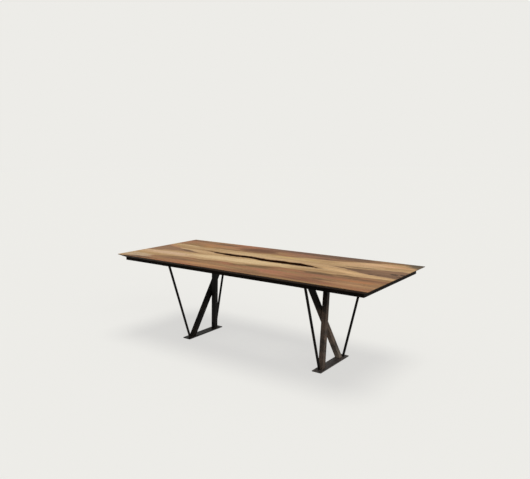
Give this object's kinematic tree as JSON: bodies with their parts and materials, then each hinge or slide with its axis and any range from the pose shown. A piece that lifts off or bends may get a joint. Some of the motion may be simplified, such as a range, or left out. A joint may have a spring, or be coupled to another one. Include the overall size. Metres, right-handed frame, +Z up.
{
  "type": "conference table",
  "caption": "Long table: a thin board top with an undercut edge and a natural crack, on a black steel subframe and pedestals of crossing leaning tubes and splayed rods.",
  "frame": {"origin": "on the floor, under the middle of the top", "axes": "+X along the length, to the right seen from the front; +Y across, from front to back; +Z up"},
  "size_m": [2.4, 1, 0.75],
  "materials": {
    "top_wood": "satin oil, two-tone hickory",
    "tenon_wood": "plain, unfinished",
    "blackened_steel": "satin black patina",
    "black_fasteners": "black oxide",
    "pad_rubber": "matte"
  },
  "bodies": {
    "root": {"top_board_front": "top_wood", "top_board_centre": "top_wood", "top_board_back": "top_wood", "top_tenons": "tenon_wood", "frame_rail_front": "blackened_steel", "frame_rail_back": "blackened_steel", "frame_end_left": "blackened_steel", "frame_end_right": "blackened_steel", "cross_tube_centre": "blackened_steel", "cross_tube_left_outer": "blackened_steel", "cross_tube_left_inner": "blackened_steel", "cross_tube_right_inner": "blackened_steel", "cross_tube_right_outer": "blackened_steel", "base_plate_left": "blackened_steel", "base_plate_right": "blackened_steel", "bar_front_left": "blackened_steel", "bar_front_right": "blackened_steel", "bar_back_left": "blackened_steel", "bar_back_right": "blackened_steel", "rod_front_left": "blackened_steel", "rod_front_right": "blackened_steel", "rod_back_left": "blackened_steel", "rod_back_right": "blackened_steel", "head_plate_left": "blackened_steel", "head_plate_right": "blackened_steel", "rod_flange_front_left": "blackened_steel", "rod_flange_front_right": "blackened_steel", "rod_flange_back_left": "blackened_steel", "rod_flange_back_right": "blackened_steel", "rod_flange_bolts": "black_fasteners", "head_plate_bolts": "black_fasteners", "top_screws": "black_fasteners", "floor_pads_left": "pad_rubber", "floor_pads_right": "pad_rubber"}
  },
  "joints": []
}
